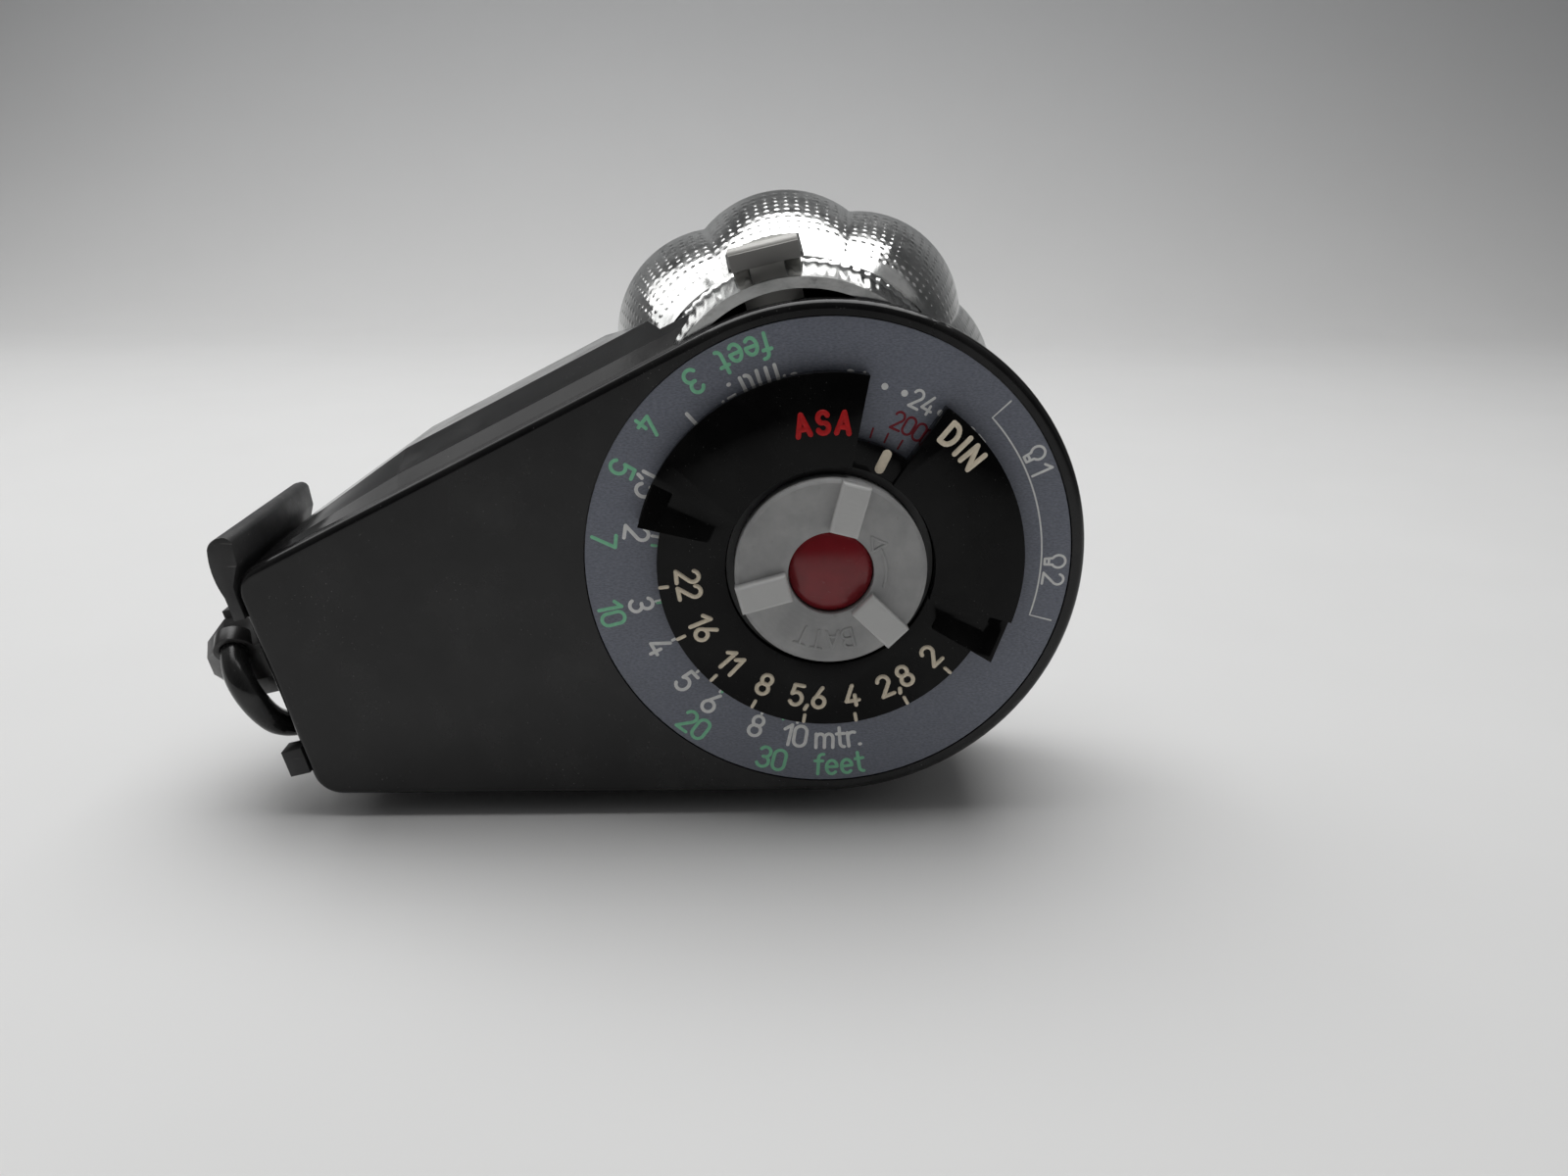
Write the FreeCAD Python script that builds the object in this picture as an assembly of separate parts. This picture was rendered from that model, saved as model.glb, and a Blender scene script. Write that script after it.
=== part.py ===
import FreeCAD
import Part
import math
import os

# Pocket bulb flashgun, lying on its lower flank.
# The case is modelled upright first, in its own axes:
#   x runs along the case from tail (-) to head (+), y from the dial face to the flash side,
#   z across the case.  The dial centre is the origin.
# At the end everything is turned by LIE_ANGLE, so that the lower flank is level.

V = FreeCAD.Vector

# ---- driving dimensions, mm and degrees ---------------------------------------------------
LIE_ANGLE = 13.65            # half the angle between the two flanks
HEAD_R = 25.5                # round head of the rear cover
TAIL_X = -57.3               # plane of the tail end
CORNER_R = 3.0               # rounded tail corners
KINK_X = -39.4               # where the flared flanks turn in towards the tail
HEAD_SHIFT = 2.1             # how far the flared outline moves and grows
COVER_Y = 2.4                # depth of the rear cover
SHELL_Y0 = 2.55              # back edge of the front shell
BEVEL_Y = 4.0
FLARE_Y = 9.0                # from here on the shell has its full outline
SHELL_Y1 = 20.8              # front face of the front shell
COVER_WALL = 1.4
SHELL_WALL = 1.5
FLUSH_R = 25.0               # the shell stays inside the cover beside the reflector

PLATE_R = 24.0               # scale plate
PLATE_SEAT_Y = 0.55
DISC_R = 16.9                # aperture part of the calculator disc
SECTOR_R = 19.1              # raised parts of the calculator disc
DISC_T = 1.2
WINDOW_ANGLE = 68.0 - LIE_ANGLE    # middle of the film-speed window
WINDOW_HALF = 12.0
WINDOW_R = 12.9
SECTOR_END = 85.5            # from the window's middle to the end of a raised part
GRIP_END = 99.0              # and to the end of its finger ramp
COLLAR_R = 11.2
COLLAR_BORE = 10.25

CHAMBER_R = 10.15
CHAMBER_Y0, CHAMBER_Y1 = -0.6, 12.0
CAP_R = 9.33
CAP_Y = -3.0                 # face of the battery cap
CAP_TURN = 45.0
LUG_ANGLES = (92.0, 212.0, 332.0)
RIB_ANGLES = [76.0 + 120.0 * k - LIE_ANGLE for k in range(3)]
BUTTON_R = 4.08
BUTTON_BORE = 4.17
BATTERY_R = 8.0

BOWL_X, BOWL_Z = 0.6, 13.1   # axis of the reflector
LOBES = 8
CREASE = 16.0                 # angle of one crease
BOWL_Y0, BOWL_FLOOR_Y, BOWL_Y1 = 9.0, 12.4, 21.4
APRON_R0, APRON_R1, APRON_R2 = 14.5, 15.3, 15.8
APRON_Y1 = 8.0
APRON_BORE = 13.4
APRON_ENDS = (-15, 195)      # the case hides the rest of the way round
# depth, lobe radius and how far the creases lie below the lobes
BOWL_OUTSIDE = ((BOWL_Y0, 15.9, 0.3), (10.5, 17.1, 0.45), (BOWL_FLOOR_Y, 18.4, 0.65), (15.0, 19.7, 0.9),
                (18.0, 20.85, 1.2), (BOWL_Y1, 21.9, 1.5))
BOWL_INSIDE = ((13.4, 10.6, 0.1), (14.2, 14.0, 0.3), (15.6, 17.0, 0.5), (17.4, 19.0, 0.8),
               (19.4, 20.2, 1.1), (BOWL_Y1, 21.1, 1.4))
# radius and depth of the shell's opening round the reflector
ROOM = ((14.8, 1.5), (15.3, 5.7), (16.7, 5.8), (19.4, 12.0), (22.25, 20.9), (22.45, 22.2))
SOCKET_R = 4.5

EJECT_W = 6.9

FOOT_TRAVEL = 4.3
FOOT_X0, FOOT_X1 = -58.5, -57.35
FOOT_Z0, FOOT_Z1 = -9.6, 8.1
FOOT_Y1 = 21.6
FOOT_GAP_Y = 12.3            # the plate is open in front of this, for the plug and its lead

PLUG_Y, PLUG_Z = 7.4, 2.6
PLUG_FLATS = 9.0
PLUG_X0, PLUG_X1 = -65.5, -57.45
CORD_R = 1.4
GLAND_Y, GLAND_Z = 6.95, -6.3
SCREWS = ((9.0, -17.5), (-44.5, 9.0), (-44.5, -9.0))
POST_R = 2.4

nodes = {}


# ---- helpers ------------------------------------------------------------------------------
def rad(a):
    return math.radians(a)


def polar(r, a, y=0.0, cx=0.0, cz=0.0):
    return V(cx + r * math.cos(rad(a)), y, cz + r * math.sin(rad(a)))


def box(x0, x1, y0, y1, z0, z1):
    return Part.makeBox(x1 - x0, y1 - y0, z1 - z0, V(x0, y0, z0))


def rod(r, y0, y1, x=0.0, z=0.0):
    return Part.makeCylinder(r, y1 - y0, V(x, y0, z), V(0, 1, 0))


def tube(r_out, r_in, y0, y1, x=0.0, z=0.0):
    return rod(r_out, y0, y1, x, z).cut(rod(r_in, y0 - 0.1, y1 + 0.1, x, z))


def rod_x(r, x0, x1, y, z):
    return Part.makeCylinder(r, x1 - x0, V(x0, y, z), V(1, 0, 0))


def turned(profile, x=0.0, z=0.0):
    """Solid of revolution about a line along Y; profile is a list of (radius, y)."""
    pts = [V(x + r, y, z) for r, y in profile]
    face = Part.Face(Part.makePolygon(pts + [pts[0]]))
    return face.revolve(V(x, 0, z), V(0, 1, 0), 360)


def sector(r0, r1, a0, a1, y0, y1, cx=0.0, cz=0.0):
    """Ring sector between two angles, about a line along Y."""
    mid = (a0 + a1) / 2

    def arc(r, a, m, b):
        return Part.Arc(polar(r, a, y0, cx, cz), polar(r, m, y0, cx, cz),
                        polar(r, b, y0, cx, cz)).toShape()

    edges = [arc(r1, a0, mid, a1),
             Part.makeLine(polar(r1, a1, y0, cx, cz), polar(r0, a1, y0, cx, cz)),
             arc(r0, a1, mid, a0),
             Part.makeLine(polar(r0, a0, y0, cx, cz), polar(r1, a0, y0, cx, cz))]
    return Part.Face(Part.Wire(edges)).extrude(V(0, y1 - y0, 0))


def fuse(shapes, merge_faces=True):
    whole = shapes[0]
    for s in shapes[1:]:
        whole = whole.fuse(s)
    return whole.removeSplitter() if merge_faces else whole


def coil(r_mean, wire_r, y0, y1, turns, x=0.0, z=0.0):
    """Compression spring along Y between two planes, of short straight pieces with six sides."""
    steps = int(12 * turns)
    rise = (y1 - y0 - 2 * wire_r) / steps
    sections = []
    for k in range(steps + 1):
        a = 30.0 * k
        corners = [polar(r_mean + wire_r * math.cos(rad(60 * i)), a,
                         y0 + wire_r + rise * k + wire_r * math.sin(rad(60 * i)), x, z) for i in range(6)]
        sections.append(Part.makePolygon(corners + [corners[0]]))
    return Part.makeLoft(sections, True, True)


def route(points):
    """Wire of straight runs joined by tangent arcs, as large as the runs allow."""
    pts = [V(*p) for p in points]
    radii = []
    edges = []
    start = pts[0]
    for before, here, after in zip(pts, pts[1:], pts[2:]):
        d_in = (here - before).normalize()
        d_out = (after - here).normalize()
        turn = d_in.getAngle(d_out)
        reach = 0.45 * min((here - before).Length, (after - here).Length)
        radius = reach / math.tan(turn / 2)
        a = here - d_in * reach
        b = here + d_out * reach
        inward = (d_out - d_in).normalize()
        mid = here + inward * (radius / math.cos(turn / 2) - radius)
        edges.append(Part.makeLine(start, a))
        edges.append(Part.Arc(a, mid, b).toShape())
        radii.append(round(radius, 2))
        start = b
    edges.append(Part.makeLine(start, pts[-1]))
    return Part.Wire(edges), radii


def cable(points, r, name):
    path, radii = route(points)
    d = (V(*points[1]) - V(*points[0])).normalize()
    section = Part.Wire(Part.makeCircle(r, V(*points[0]), d))
    solid = path.makePipeShell([section], True, True)
    print(name, "bend radii", radii, "length", round(path.Length, 1),
          "volume error", round(solid.Volume / (math.pi * r * r * path.Length) - 1, 4))
    return solid


# ---- case outline -------------------------------------------------------------------------
def outline(flare, inset, y):
    """Teardrop outline at a depth: flare 0 is the rear cover's, 1 the front shell's."""
    t = rad(LIE_ANGLE)
    cx = -HEAD_SHIFT * flare
    full_r = HEAD_R + HEAD_SHIFT * flare
    r = full_r - inset
    kink = V(KINK_X, y, full_r / math.cos(t) + (KINK_X - cx) * math.tan(t))
    tail = V(TAIL_X, y, HEAD_R / math.cos(t) + TAIL_X * math.tan(t))

    # outward normals of the flank, the turned-in part and the tail end
    n_flank = V(-math.sin(t), 0, math.cos(t))
    run = (kink - tail).normalize()
    n_turn = V(-run.z, 0, run.x)
    n_tail = V(-1, 0, 0)
    kink = kink - (n_flank + n_turn) * (inset / (1 + n_flank.dot(n_turn)))
    tail = tail - (n_turn + n_tail) * (inset / (1 + n_turn.dot(n_tail)))
    rc = CORNER_R - inset
    half = run.getAngle(V(0, 0, -1)) / 2
    reach = rc / math.tan(half)
    c0 = tail + run * reach
    c1 = tail + V(0, 0, -1) * reach
    inward = (run + V(0, 0, -1)).normalize()
    cm = tail + inward * (rc / math.sin(half) - rc)
    tangent = V(cx - r * math.sin(t), y, r * math.cos(t))

    def low(p):
        return V(p.x, p.y, -p.z)

    edges = [Part.Arc(low(tangent), V(cx + r, y, 0), tangent).toShape(),
             Part.makeLine(tangent, kink), Part.makeLine(kink, c0),
             Part.Arc(c0, cm, c1).toShape(),
             Part.makeLine(c1, low(c1)),
             Part.Arc(low(c1), low(cm), low(c0)).toShape(),
             Part.makeLine(low(c0), low(kink)), Part.makeLine(low(kink), low(tangent))]
    return Part.Wire(edges)


def case_loft(inset, levels):
    return Part.makeLoft([outline(f, inset, y) for y, f in levels], True, True)


def edges_at(shape, y):
    return [e for e in shape.Edges if abs(e.BoundBox.YMin - y) < 1e-4 and abs(e.BoundBox.YMax - y) < 1e-4]


# ---- case ---------------------------------------------------------------------------------
def rear_cover():
    body = Part.Face(outline(0, 0, 0)).extrude(V(0, COVER_Y, 0))
    body = body.makeFillet(0.8, edges_at(body, 0))
    hollow = Part.Face(outline(0, 1.3, COVER_WALL)).extrude(V(0, COVER_Y, 0))
    body = body.cut(hollow)
    # a lip behind the tail keeps cover and shell in line
    lip = Part.Face(outline(0, 1.7, COVER_WALL)).extrude(V(0, 2.6, 0))
    lip = lip.cut(Part.Face(outline(0, 2.6, 1.0)).extrude(V(0, 4, 0)))
    lip = lip.common(box(-60, -20, 0, 6, -30, 30))
    lip = lip.cut(box(-60, -50, 0, 6, -7, 7))
    ring = tube(14.2, 13.2, COVER_WALL - 0.1, 3.2)
    posts = [rod(POST_R, COVER_WALL - 0.1, 12.9, x, z) for x, z in SCREWS]
    body = fuse([body, lip, ring] + posts)
    for x, z in SCREWS:
        body = body.cut(rod(0.85, 5.0, 13.0, x, z))
    body = body.cut(rod(PLATE_R + 0.12, -1, PLATE_SEAT_Y))
    return body.cut(rod(COLLAR_R + 0.05, -1, 3))


def reflector_room():
    """Space round the reflector, as a solid of revolution."""
    return turned([(0, ROOM[0][1])] + list(ROOM) + [(0, ROOM[-1][1])], BOWL_X, BOWL_Z)


def front_shell():
    outer = case_loft(0, ((SHELL_Y0, 0), (BEVEL_Y, 0.42), (FLARE_Y, 1), (SHELL_Y1, 1)))
    outer = outer.makeFillet(1.2, edges_at(outer, SHELL_Y1))
    inner = case_loft(SHELL_WALL, ((SHELL_Y0 - 0.5, 0), (BEVEL_Y, 0.42), (FLARE_Y, 1),
                                   (SHELL_Y1 - SHELL_WALL, 1)))
    outer = outer.cut(sector(FLUSH_R, 45, 15, 80, 0, 25))
    inner = inner.cut(sector(FLUSH_R - SHELL_WALL, 45, 15, 80, 0, 25))
    shell = outer.cut(inner)
    inside_y = SHELL_Y1 - SHELL_WALL
    sleeves = [rod(3.4, 13.1, inside_y + 0.1, x, z) for x, z in SCREWS]
    rib = box(-48.5, -47.3, 12.0, inside_y + 0.1, -6, 6)
    shell = fuse([shell, rib] + sleeves)
    for x, z in SCREWS:
        shell = shell.cut(rod(1.3, 12, 25, x, z)).cut(rod(2.5, SHELL_Y1 - 2.0, 25, x, z))
    shell = shell.cut(reflector_room())
    shell = shell.cut(box(TAIL_X - 1, -54, 13.4, 19.1, -4.6, 4.6))
    shell = shell.cut(rod_x(2.4, TAIL_X - 1, -54, PLUG_Y, PLUG_Z))
    return shell.cut(rod_x(1.9, TAIL_X - 1, -54, GLAND_Y, GLAND_Z))


def case_screws():
    screws = []
    for x, z in SCREWS:
        y = SHELL_Y1 - 2.0
        screw = fuse([rod(1.0, 7.0, y + 0.1, x, z), rod(2.2, y, y + 1.3, x, z)])
        slot = box(x - 2.5, x + 2.5, y + 0.8, y + 2, z - 0.3, z + 0.3)
        # the thread's core fits the post's pilot hole
        core = tube(3, 0.84, 0, 12.95, x, z)
        screws.append(screw.cut(slot).cut(core))
    return Part.makeCompound(screws)


# ---- dial ---------------------------------------------------------------------------------
def scale_plate():
    return tube(PLATE_R, COLLAR_R + 0.1, 0.08, PLATE_SEAT_Y - 0.02)


def ramp(a0, h0, a1, h1):
    """Finger ramp of the calculator disc, rising from h0 at a0 to h1 at a1."""
    def section(a, h):
        pts = [polar(12.0, a, -0.3), polar(SECTOR_R, a, -0.3), polar(SECTOR_R, a, -h), polar(12.0, a, -h)]
        return Part.makePolygon(pts + [pts[0]])
    sections = [section(a0, h0), section(a1, h1)]
    return Part.makeLoft(sections if a1 > a0 else sections[::-1], True, True)


def calculator_disc():
    w = WINDOW_ANGLE
    base = rod(DISC_R, -DISC_T, 0)
    skirt = rod(COLLAR_R, -0.1, 2.75)
    cone = turned([(0, 0), (SECTOR_R, 0), (SECTOR_R, -1.5), (10.0, -2.1), (0, -2.1)])
    parts = [base, skirt]
    for side in (1, -1):
        a0, a1 = sorted((w + side * WINDOW_HALF, w + side * SECTOR_END))
        parts.append(cone.common(sector(9.0, SECTOR_R + 1, a0, a1, -3, 0)))
        g0, g1 = w + side * SECTOR_END, w + side * GRIP_END
        parts.append(ramp(g0 - side * 0.6, 0.6, g1, 1.9))
        f0, f1 = sorted((g0, g1))
        parts.append(sector(12.0, SECTOR_R, f0, f1, -0.6, 0))
    disc = fuse(parts, merge_faces=False)
    disc = disc.cut(sector(WINDOW_R, 22, w - WINDOW_HALF, w + WINDOW_HALF, -3, 1))
    disc = disc.cut(rod(COLLAR_BORE, -4, 4))
    return disc.cut(tube(12, 10.85, 2.15, 2.55))


def friction_washer():
    return tube(12.7, COLLAR_R + 0.1, COVER_WALL + 0.03, 2.12)


def disc_circlip():
    return tube(12.6, 10.88, 2.18, 2.52).cut(sector(9, 15, 165, 195, 1, 4))


# ---- battery and its cap ------------------------------------------------------------------
def battery_chamber():
    body = fuse([rod(CHAMBER_R, CHAMBER_Y0, CHAMBER_Y1), rod(14.2, 3.25, 4.2)])
    body = body.cut(rod(CAP_R + 0.07, -2, 1.1)).cut(rod(8.45, 0, 3.6)).cut(rod(8.2, 3, 11.2))
    for a in LUG_ANGLES:
        track = sector(7.5, CAP_R + 0.02, a - 9.6, a + CAP_TURN + 9.6, 2.3, 3.5)
        entry = sector(7.5, CAP_R + 0.02, a + CAP_TURN - 11, a + CAP_TURN + 11, 1.0, 3.5)
        body = body.cut(track).cut(entry)
    return body


def battery_cap():
    plate = rod(CAP_R, CAP_Y, 0.9)
    rim = edges_at(plate, CAP_Y)
    plate = plate.makeChamfer(0.35, rim)
    plate = plate.cut(rod(8.1, CAP_Y + 1.2, 2))
    skirt = tube(8.35, 7.3, 0.8, 3.4).fuse(tube(8.6, 7.3, 0.5, 0.9))
    ribs = []
    for a in RIB_ANGLES:
        rib = box(BUTTON_BORE + 0.05, CAP_R - 0.05, CAP_Y - 1.2, CAP_Y + 0.5, -1.4, 1.4)
        top = [e for e in rib.Edges if e.BoundBox.YMax < CAP_Y - 1.1]
        rib = rib.makeFillet(0.4, top)
        rib.rotate(V(0, 0, 0), V(0, -1, 0), a)
        ribs.append(rib)
    lugs = [sector(8.2, 9.27, a - 9, a + 9, 2.4, 3.35) for a in LUG_ANGLES]
    cap = fuse([plate, skirt] + ribs + lugs)
    return cap.cut(rod(BUTTON_BORE, -6, 0))


def test_button():
    dome = [(0, -2.95), (1.6, -2.9), (2.8, -2.74), (3.6, -2.5), (BUTTON_R, -2.15)]
    stem = [(BUTTON_R, -1.72), (5.2, -1.72), (5.2, -1.15), (1.6, -1.15), (1.6, 1.95), (0, 1.95)]
    return turned(dome + stem)


def battery():
    body = rod(BATTERY_R, 3.7, 10.4)
    body = body.makeFillet(0.4, edges_at(body, 3.7) + edges_at(body, 10.4))
    return body.fuse(rod(2.8, 3.36, 3.8)).removeSplitter()


def chamber_contact():
    return turned([(0, 10.42), (2.4, 10.5), (4.2, 10.95), (6.5, 10.95), (6.5, 11.18), (4.0, 11.18),
                   (2.2, 10.75), (0, 10.67)])


# ---- reflector ----------------------------------------------------------------------------
def lobed(y, r, crease):
    """Eight arcs round the reflector axis, meeting in creases."""
    step = 360.0 / LOBES
    arcs = []
    for k in range(LOBES):
        a = CREASE + k * step
        arcs.append(Part.Arc(polar(r - crease, a, y, BOWL_X, BOWL_Z),
                             polar(r, a + step / 2, y, BOWL_X, BOWL_Z),
                             polar(r - crease, a + step, y, BOWL_X, BOWL_Z)).toShape())
    return Part.Wire(arcs)


def reflector():
    outside = Part.makeLoft([lobed(*row) for row in BOWL_OUTSIDE], True, False)
    inside = Part.makeLoft([lobed(*row) for row in BOWL_INSIDE], True, False)
    bowl = outside.cut(inside)
    # under its floor the bowl is only a ring, and only where it shows
    first, last = APRON_ENDS
    low, high = BOWL_Y0 - 0.1, BOWL_FLOOR_Y
    bowl = bowl.cut(rod(APRON_BORE, low, high, BOWL_X, BOWL_Z))
    bowl = bowl.cut(sector(5, 30, last, first + 360, low, high, BOWL_X, BOWL_Z))
    apron = turned([(APRON_BORE, SHELL_Y0), (APRON_R0, SHELL_Y0), (APRON_R1, APRON_Y1),
                    (APRON_R2, BOWL_Y0 + 0.2), (APRON_BORE, BOWL_Y0 + 0.2)], BOWL_X, BOWL_Z)
    apron = apron.common(sector(5, 30, first, last, 0, 15, BOWL_X, BOWL_Z))
    body = fuse([bowl, apron])
    x = BOWL_X
    body = body.cut(box(x - 1.85, x + 1.85, 3.2, 11.6, 20, 32))
    body = body.cut(box(x - 3.8, x + 3.8, 6.2, 11.6, 28.55, 34))
    body = body.cut(rod(SOCKET_R + 0.15, 12, 14, BOWL_X, BOWL_Z))
    return body


def bulb_socket():
    x, z = BOWL_X, BOWL_Z
    block = box(x - 5.5, x + 5.5, 5.0, 12.3, 10.9, 18.8)
    boss = rod(SOCKET_R, 12.2, 15.2, x, z)
    body = fuse([block, boss])
    return body.cut(box(x - 3.2, x + 3.2, 7.5, 16, z - 1.25, z + 1.25))


def socket_contacts():
    x, z = BOWL_X, BOWL_Z
    strips = []
    for side in (-1, 1):
        xs = sorted((x + side * 3.15, x + side * 2.85))
        strip = box(xs[0], xs[1], 7.6, 14.6, z - 0.9, z + 0.9)
        xt = sorted((x + side * 3.15, x + side * 2.2))
        tip = box(xt[0], xt[1], 10.6, 10.9, z - 0.9, z + 0.9)
        strips.append(strip.fuse(tip).removeSplitter())
    return Part.makeCompound(strips)


def ejector_slide():
    x, half = BOWL_X, EJECT_W / 2
    pad = box(x - half, x + half, 6.5, 11.3, 28.7, 30.3)
    ribs = [rod_x(0.45, x - half, x + half, 7.3 + 1.6 * k, 30.3) for k in range(3)]
    neck = box(x - 1.7, x + 1.7, 7.4, 11.3, 25.0, 28.8)
    saddle = box(x - 2.9, x + 2.9, 7.4, 11.1, 24.8, 25.9)
    tongue = box(x - 1.9, x + 1.9, 6.9, 8.1, 20.3, 24.9)
    return fuse([pad, neck, saddle, tongue] + ribs)


# ---- shoe foot ----------------------------------------------------------------------------
def shoe_foot():
    plate = box(FOOT_X0, FOOT_X1, FOOT_GAP_Y, FOOT_Y1, FOOT_Z0, FOOT_Z1 + 1)
    strip = fuse([box(FOOT_X0, FOOT_X1, 0.2, FOOT_Y1, FOOT_Z0, -8.2),
                  box(FOOT_X0 - 1.0, FOOT_X1, 0.2, 2.5, FOOT_Z0, -6.7)])
    head = [V(FOOT_X1, 0, FOOT_Z1), V(FOOT_X0, 0, FOOT_Z1), V(FOOT_X0, 0, 10.6)]
    outer_end, top = V(-58.3, 0, 15.6), V(-56.7, 0, 16.5)
    inner_top, inner_low, waist = V(-55.75, 0, 15.8), V(-56.0, 0, 13.7), V(-57.25, 0, 11.5)
    edges = [Part.makeLine(head[0], head[1]), Part.makeLine(head[1], head[2]),
             Part.Arc(head[2], V(-58.75, 0, 13.2), outer_end).toShape(),
             Part.Arc(outer_end, V(-57.7, 0, 16.28), top).toShape(),
             Part.Arc(top, V(-56.0, 0, 16.3), inner_top).toShape(),
             Part.makeLine(inner_top, inner_low),
             Part.Arc(inner_low, V(-56.75, 0, 12.4), waist).toShape(),
             Part.makeLine(waist, V(FOOT_X1, 0, 10.4)), Part.makeLine(V(FOOT_X1, 0, 10.4), head[0])]
    grip = Part.Face(Part.Wire(edges)).extrude(V(0, FOOT_Y1, 0))
    neck = box(FOOT_X0 + 0.2, -50.4, 13.55, 18.95, -4.5, 4.5)
    stop = box(-51.4, -50.2, 13.05, 18.95, -6.4, 6.4).cut(box(-52, -50, 13, 13.55, -4.5, 4.5))
    foot = fuse([plate, strip, grip, neck, stop])
    # two shallow notches for the leaf spring's nose: stowed and pulled out
    for x in (-54.6, -54.6 + FOOT_TRAVEL):
        foot = foot.cut(Part.makeCylinder(0.45, 6, V(x, 13.55, -3), V(0, 0, 1)))
    return foot


def foot_spring():
    leaf = box(-55.6, -48.55, 12.65, 12.95, -2, 2)
    tab = box(-48.85, -48.55, 12.65, 17.5, -2, 2)
    nose = Part.makeCylinder(0.36, 4, V(-54.6, 12.95, -2), V(0, 0, 1)).common(
        box(-56, -53, 12.8, 14, -3, 3))
    return fuse([leaf, tab, nose])


# ---- sync lead ----------------------------------------------------------------------------
def sync_plug():
    """Eight-sided angled plug, its chamfered end pointing away from the tail."""
    def ring(x, flats):
        corner = flats / 2 / math.cos(math.pi / 8)
        pts = [V(x, PLUG_Y + corner * math.cos(math.pi * (k + 0.5) / 4),
                 PLUG_Z + corner * math.sin(math.pi * (k + 0.5) / 4)) for k in range(8)]
        return Part.makePolygon(pts + [pts[0]])
    levels = ((PLUG_X1, PLUG_FLATS - 0.6), (PLUG_X1 - 0.5, PLUG_FLATS), (-62.4, PLUG_FLATS), (PLUG_X0, 4.6))
    body = Part.makeLoft([ring(x, f) for x, f in levels], True, True)
    cord_start = V(*CORD_ROUTE[0])
    cord_run = (V(*CORD_ROUTE[1]) - cord_start).normalize()
    boot = Part.makeCylinder(1.95, 1.75, cord_start, cord_run)
    tab = box(-62.3, -60.6, 5.6, 9.2, 5.0, 7.95)
    body = fuse([body, boot, tab])
    bore = rod_x(2.2, -60.5, -57, PLUG_Y, PLUG_Z)
    return body.cut(bore).cut(Part.makeCylinder(CORD_R, 4, cord_start, cord_run))


def sync_plug_sleeve():
    sleeve = rod_x(2.15, -60.4, -53.6, PLUG_Y, PLUG_Z).cut(rod_x(1.75, -59.0, -53, PLUG_Y, PLUG_Z))
    return sleeve


def sync_plug_pin():
    collar = rod_x(1.7, -58.9, -57.6, PLUG_Y, PLUG_Z)
    return fuse([collar, rod_x(0.5, -58.0, -54.4, PLUG_Y, PLUG_Z)])


CORD_ROUTE = [(-61.4, 4.2, 5.2), (-61.0, 1.3, 3.5), (-60.3, 0.0, 0.9), (-60.0, 1.3, -2.6),
              (-59.8, 3.6, -5.0), (-58.4, 6.6, -6.3), (-54.4, 7.3, -6.3), (-49.8, 7.0, -5.2),
              (-46.2, 6.5, -3.8)]


def cord_gland():
    inner = rod_x(1.85, TAIL_X, -55.0, GLAND_Y, GLAND_Z)
    collar = rod_x(2.3, -55.7, -54.2, GLAND_Y, GLAND_Z)
    return fuse([inner, collar])


# ---- electrical parts ---------------------------------------------------------------------
def circuit_board():
    board = box(-45.5, -17.0, 3.7, 4.9, -6.2, 6.2)
    for x, z in ((-43.2, 0), (-18.4, 0), (-35.2, 5.2), (-25.8, 5.2)):
        board = board.cut(rod(0.35, 3, 6, x, z))
    return board


def leaded(body, x0, x1, y, z, feet, r):
    """A part on the board: its two leads leave along x and bend down through the board."""
    leads = []
    for x, foot in ((x0, feet[0]), (x1, feet[1])):
        inner, outer = x + 0.2 * (1 if foot < x else -1), foot
        leads.append(rod_x(r, min(inner, outer), max(inner, outer), y, z))
        leads.append(Part.makeSphere(r, V(foot, y, z)))
        leads.append(rod(r, 3.9, y, foot, z))
    return fuse([body] + leads)


def capacitor():
    can = rod_x(4.8, -42.0, -19.6, 10.2, 0)
    can = can.makeFillet(0.6, [e for e in can.Edges if e.BoundBox.XLength < 1e-6])
    return leaded(can, -42.0, -19.6, 10.2, 0, (-43.2, -18.4), 0.3)


def resistor():
    return leaded(rod_x(0.95, -33.5, -27.5, 6.1, 5.2), -33.5, -27.5, 6.1, 5.2, (-35.2, -25.8), 0.28)


def hookup_wires():
    live = cable([(-19.5, 5.5, 3.5), (-15.0, 7.5, 5.0), (-10.5, 9.5, 8.5), (-5.2, 9.5, 12.6)], 0.5,
                 "live wire")
    back = cable([(-19.5, 5.5, -2.5), (-16.5, 7.0, -2.0), (-13.0, 8.5, -0.5), (-10.4, 9.2, 0.6)], 0.5,
                 "battery wire")
    return Part.makeCompound([live, back])


# ---- assembly -----------------------------------------------------------------------------
nodes["rear_cover"] = rear_cover()
nodes["front_shell"] = front_shell()
nodes["case_screws"] = case_screws()
nodes["scale_plate"] = scale_plate()
nodes["calculator_disc"] = calculator_disc()
nodes["friction_washer"] = friction_washer()
nodes["disc_circlip"] = disc_circlip()
nodes["battery_chamber"] = battery_chamber()
nodes["battery_cap"] = battery_cap()
nodes["cap_contact"] = tube(7.27, 1.8, 3.0, 3.3)
nodes["test_button"] = test_button()
nodes["button_spring"] = coil(2.9, 0.2, -1.1, 2.95, 4.5)
nodes["battery"] = battery()
nodes["chamber_contact"] = chamber_contact()
nodes["reflector"] = reflector()
nodes["bulb_socket"] = bulb_socket()
nodes["socket_contacts"] = socket_contacts()
nodes["ejector_slide"] = ejector_slide()
nodes["ejector_spring"] = coil(1.35, 0.18, COVER_WALL + 0.02, 6.88, 6, BOWL_X, 22.0)
nodes["shoe_foot"] = shoe_foot()
nodes["foot_spring"] = foot_spring()
nodes["sync_plug"] = sync_plug()
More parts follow.
